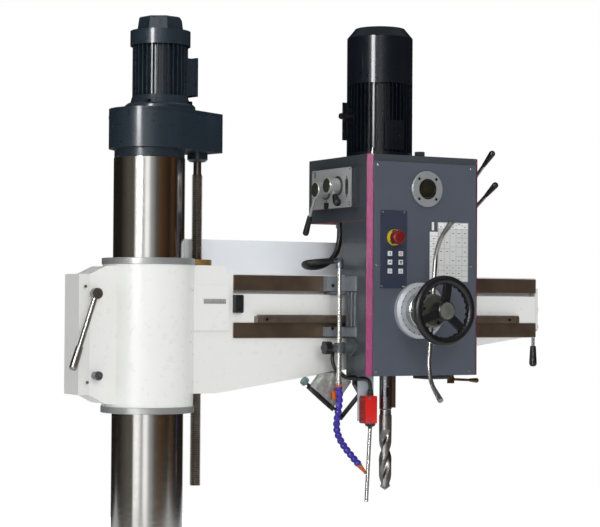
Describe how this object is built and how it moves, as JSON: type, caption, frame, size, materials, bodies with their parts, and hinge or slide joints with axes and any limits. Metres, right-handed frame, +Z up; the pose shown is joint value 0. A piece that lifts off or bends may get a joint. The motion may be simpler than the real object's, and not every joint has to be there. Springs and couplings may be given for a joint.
{
  "type": "radial arm drill",
  "caption": "Radial arm drilling machine: round column on a T-slotted base, a swinging and lifting arm on a lead screw, and a geared drilling head that slides on the arm's guide ways.",
  "frame": {"origin": "the column's axis on the floor, under the base plate", "axes": "+X along the arm towards its free end, -Y towards the operator, +Z up"},
  "size_m": [1.5812, 0.694, 2.272],
  "materials": {
    "base": "painted grey casting",
    "column": "ground and polished",
    "lift_blue": "gloss slate blue",
    "screw": "machined",
    "arm_white": "gloss off-white paint",
    "ways": "ground",
    "ring": "turned",
    "bronze": "machined",
    "cover_white": "gloss off-white paint",
    "black_rubber": "matt",
    "rear_white": "satin bluish white paint",
    "bright": "polished",
    "black_plastic": "black",
    "head_iron": "dark green-grey paint",
    "panel_blue": "satin blue-grey paint",
    "magenta": "gloss magenta paint",
    "shoe": "grey paint",
    "motor_black": "gloss black paint",
    "gear_steel": "machined",
    "sight_ring": "turned",
    "control_navy": "satin",
    "red_plastic": "gloss red",
    "key_white": "white",
    "selector_alu": "satin",
    "knob_silver": "satin",
    "dial": "satin",
    "chrome": "polished",
    "drill": "ground",
    "hose_blue": "blue",
    "orange_plastic": "orange",
    "clamp_grey": "grey paint",
    "switch_red": "gloss red",
    "bracket_light": "satin",
    "lamp_black": "satin black",
    "lamp_alu": "cast, satin"
  },
  "bodies": {
    "stand": {"base_plate": "base", "column_foot": "base", "column": "column"},
    "cap": {"cap_housing": "lift_blue", "cap_lid": "lift_blue", "lift_motor": "lift_blue", "lift_motor_cowl": "lift_blue"},
    "screw": {"lead_screw": "screw"},
    "arm": {"arm_casting": "arm_white", "guide_ways": "ways", "traverse_rack": "ways", "sleeve_rings": "ring", "lift_nut": "bronze", "clamp_cover": "cover_white", "end_cover": "cover_white", "travel_buffer": "black_rubber", "rear_cover": "rear_white"},
    "clamp_lever": {"column_clamp_lever": "bright"},
    "end_lever": {"arm_end_lever": "black_plastic"},
    "head": {"head_housing": "head_iron", "front_panel": "panel_blue", "corner_trims": "magenta", "guide_shoes": "shoe", "head_motor": "motor_black", "head_motor_cowl": "motor_black", "sight_glass": "sight_ring", "control_panel": "control_navy", "selector_box": "selector_alu", "pipe_clamp": "clamp_grey", "supply_hose": "black_rubber", "trip_switch": "switch_red", "underside_plates": "bracket_light", "switch_cable": "black_rubber", "lamp_bracket": "lamp_black"},
    "quill": {"quill": "bright"},
    "spindle": {"spindle": "bright", "drill_bit": "drill"},
    "gear": {"spindle_gear": "gear_steel"},
    "rotor": {"motor_rotor": "gear_steel"},
    "feed": {"feed_hub": "dial", "feed_levers": "chrome"},
    "wheel": {"handwheel": "black_plastic"},
    "stop": {"stop_button": "red_plastic"},
    "key_1": {"push_button_1": "key_white"},
    "key_2": {"push_button_2": "key_white"},
    "key_3": {"push_button_3": "key_white"},
    "key_4": {"push_button_4": "key_white"},
    "key_5": {"push_button_5": "key_white"},
    "key_6": {"push_button_6": "key_white"},
    "speed": {"speed_selector": "knob_silver"},
    "range": {"range_selector": "knob_silver"},
    "upper_lever": {"upper_side_lever": "black_plastic"},
    "lower_lever": {"lower_side_lever": "black_plastic"},
    "under": {"under_lever": "bronze"},
    "pipe": {"coolant_pipe": "chrome", "coolant_hose": "hose_blue"},
    "valve": {"valve_lever": "orange_plastic"},
    "knob": {"clamp_knob": "black_plastic"},
    "trip": {"trip_rod": "bright"},
    "lamp": {"work_lamp": "lamp_alu"}
  },
  "joints": [
    {"name": "arm_swing", "type": "hinge", "parent": "stand", "child": "cap", "pos_m": [0, 0, 1.884], "axis": [0, 0, 1], "range_deg": [-180, 180]},
    {"name": "lead_screw_turn", "type": "hinge", "parent": "cap", "child": "screw", "pos_m": [0.17016, 0.04496, 1.845], "axis": [0, 0, 1], "continuous": true},
    {"name": "arm_lift", "type": "slide", "parent": "cap", "child": "arm", "axis": [0, 0, 1], "range_m": [-0.5, 0.22]},
    {"name": "clamp_lever_turn", "type": "hinge", "parent": "arm", "child": "clamp_lever", "pos_m": [-0.187, -0.074, 1.478], "axis": [0, 1, 0], "range_deg": [0, 75]},
    {"name": "end_lever_turn", "type": "hinge", "parent": "arm", "child": "end_lever", "pos_m": [1.305, -0.019, 1.387], "axis": [1, 0, 0], "range_deg": [-60, 60]},
    {"name": "head_traverse", "type": "slide", "parent": "arm", "child": "head", "axis": [1, 0, 0], "range_m": [-0.235, 0.27]},
    {"name": "quill_feed", "type": "slide", "parent": "head", "child": "quill", "axis": [0, 0, -1], "range_m": [0, 0.19]},
    {"name": "spindle_turn", "type": "hinge", "parent": "quill", "child": "spindle", "pos_m": [0.694, -0.14, 1.445], "axis": [0, 0, 1], "continuous": true},
    {"name": "spindle_gear_turn", "type": "hinge", "parent": "head", "child": "gear", "pos_m": [0.694, -0.14, 1.705], "axis": [0, 0, 1], "continuous": true},
    {"name": "motor_turn", "type": "hinge", "parent": "head", "child": "rotor", "pos_m": [0.727, -0.04243, 1.895], "axis": [0, 0, 1], "continuous": true},
    {"name": "feed_turn", "type": "hinge", "parent": "head", "child": "feed", "pos_m": [0.755, -0.25, 1.43625], "axis": [0, 1, 0], "range_deg": [-545, 1]},
    {"name": "traverse_turn", "type": "hinge", "parent": "head", "child": "wheel", "pos_m": [0.755, -0.3, 1.43625], "axis": [0, 1, 0], "range_deg": [-842, 967]},
    {"name": "stop_press", "type": "slide", "parent": "head", "child": "stop", "axis": [0, 1, 0], "range_m": [0, 0.004], "stiffness_N_per_m": 2000, "springref_m": -0.0015},
    {"name": "key_1_press", "type": "slide", "parent": "head", "child": "key_1", "axis": [0, 1, 0], "range_m": [0, 0.002], "stiffness_N_per_m": 1200, "springref_m": -0.001},
    {"name": "key_2_press", "type": "slide", "parent": "head", "child": "key_2", "axis": [0, 1, 0], "range_m": [0, 0.002], "stiffness_N_per_m": 1200, "springref_m": -0.001},
    {"name": "key_3_press", "type": "slide", "parent": "head", "child": "key_3", "axis": [0, 1, 0], "range_m": [0, 0.002], "stiffness_N_per_m": 1200, "springref_m": -0.001},
    {"name": "key_4_press", "type": "slide", "parent": "head", "child": "key_4", "axis": [0, 1, 0], "range_m": [0, 0.002], "stiffness_N_per_m": 1200, "springref_m": -0.001},
    {"name": "key_5_press", "type": "slide", "parent": "head", "child": "key_5", "axis": [0, 1, 0], "range_m": [0, 0.002], "stiffness_N_per_m": 1200, "springref_m": -0.001},
    {"name": "key_6_press", "type": "slide", "parent": "head", "child": "key_6", "axis": [0, 1, 0], "range_m": [0, 0.002], "stiffness_N_per_m": 1200, "springref_m": -0.001},
    {"name": "speed_turn", "type": "hinge", "parent": "head", "child": "speed", "pos_m": [0.55, -0.008, 1.789], "axis": [1, 0, 0], "range_deg": [-30, 30]},
    {"name": "range_turn", "type": "hinge", "parent": "head", "child": "range", "pos_m": [0.55, -0.077, 1.798], "axis": [1, 0, 0], "range_deg": [-30, 30]},
    {"name": "upper_lever_turn", "type": "hinge", "parent": "head", "child": "upper_lever", "pos_m": [0.985, -0.118, 1.798], "axis": [1, 0, 0], "range_deg": [-30, 5]},
    {"name": "lower_lever_turn", "type": "hinge", "parent": "head", "child": "lower_lever", "pos_m": [0.985, -0.104, 1.707], "axis": [1, 0, 0], "range_deg": [-5, 30]},
    {"name": "under_lever_turn", "type": "hinge", "parent": "head", "child": "under", "pos_m": [0.92, -0.14, 1.235], "axis": [0, 0, 1], "range_deg": [-40, 40]},
    {"name": "pipe_swivel", "type": "hinge", "parent": "head", "child": "pipe", "pos_m": [0.542, -0.132, 1.445], "axis": [0, 0, 1], "range_deg": [0, 60]},
    {"name": "valve_turn", "type": "hinge", "parent": "pipe", "child": "valve", "pos_m": [0.5436, -0.12, 1.192], "axis": [0, 1, 0], "range_deg": [0, 90]},
    {"name": "clamp_knob_turn", "type": "hinge", "parent": "head", "child": "knob", "pos_m": [0.5, -0.132, 1.328], "axis": [1, 0, 0], "range_deg": [0, 180]},
    {"name": "trip_tilt", "type": "hinge", "parent": "head", "child": "trip", "pos_m": [0.64, -0.144, 1.0992], "axis": [0, 1, 0], "range_deg": [-8, 6.5], "stiffness_Nm_per_rad": 2},
    {"name": "lamp_tilt", "type": "hinge", "parent": "head", "child": "lamp", "pos_m": [0.46678, -0.092, 1.21866], "axis": [0.7771, 0, -0.6293], "range_deg": [-4, 0]}
  ],
  "couplings": [
    {"joint": "lead_screw_turn", "follows": "arm_lift", "rad_per_m": 1047.2},
    {"joint": "spindle_gear_turn", "follows": "spindle_turn", "ratio": 1},
    {"joint": "motor_turn", "follows": "spindle_turn", "ratio": -1.5122},
    {"joint": "feed_turn", "follows": "quill_feed", "rad_per_m": -50},
    {"joint": "traverse_turn", "follows": "head_traverse", "rad_per_m": 62.5}
  ]
}
